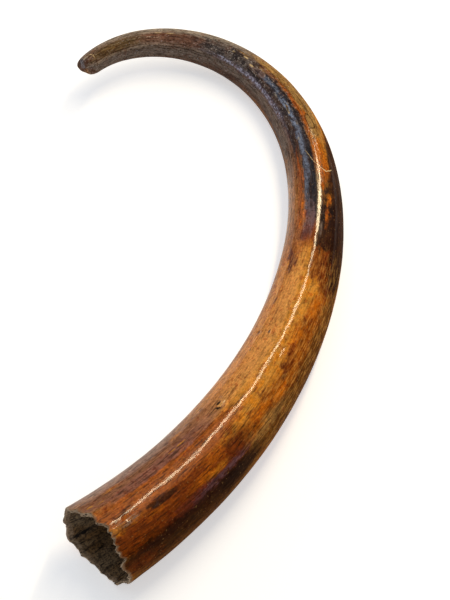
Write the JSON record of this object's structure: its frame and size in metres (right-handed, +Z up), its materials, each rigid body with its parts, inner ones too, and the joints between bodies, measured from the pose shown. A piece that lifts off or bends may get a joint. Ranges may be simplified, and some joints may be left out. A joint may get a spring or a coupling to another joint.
{
  "type": "mammoth tusk",
  "caption": "Curled fossil tusk on its side: tapering polished body, broken hollow root, blunt worn tip clear of the floor.",
  "frame": {"origin": "middle of the bounding box, on the floor the tusk lies on", "axes": "+Z up off the floor; +Y along the overall length, root near -Y and the curl near +Y; +X towards the outside of the bend"},
  "size_m": [0.335, 0.8008, 0.1036],
  "materials": {
    "tusk": "mineral-stained fossil dentine, polished and oiled"
  },
  "bodies": {
    "root": {"tusk": "tusk"}
  },
  "joints": []
}
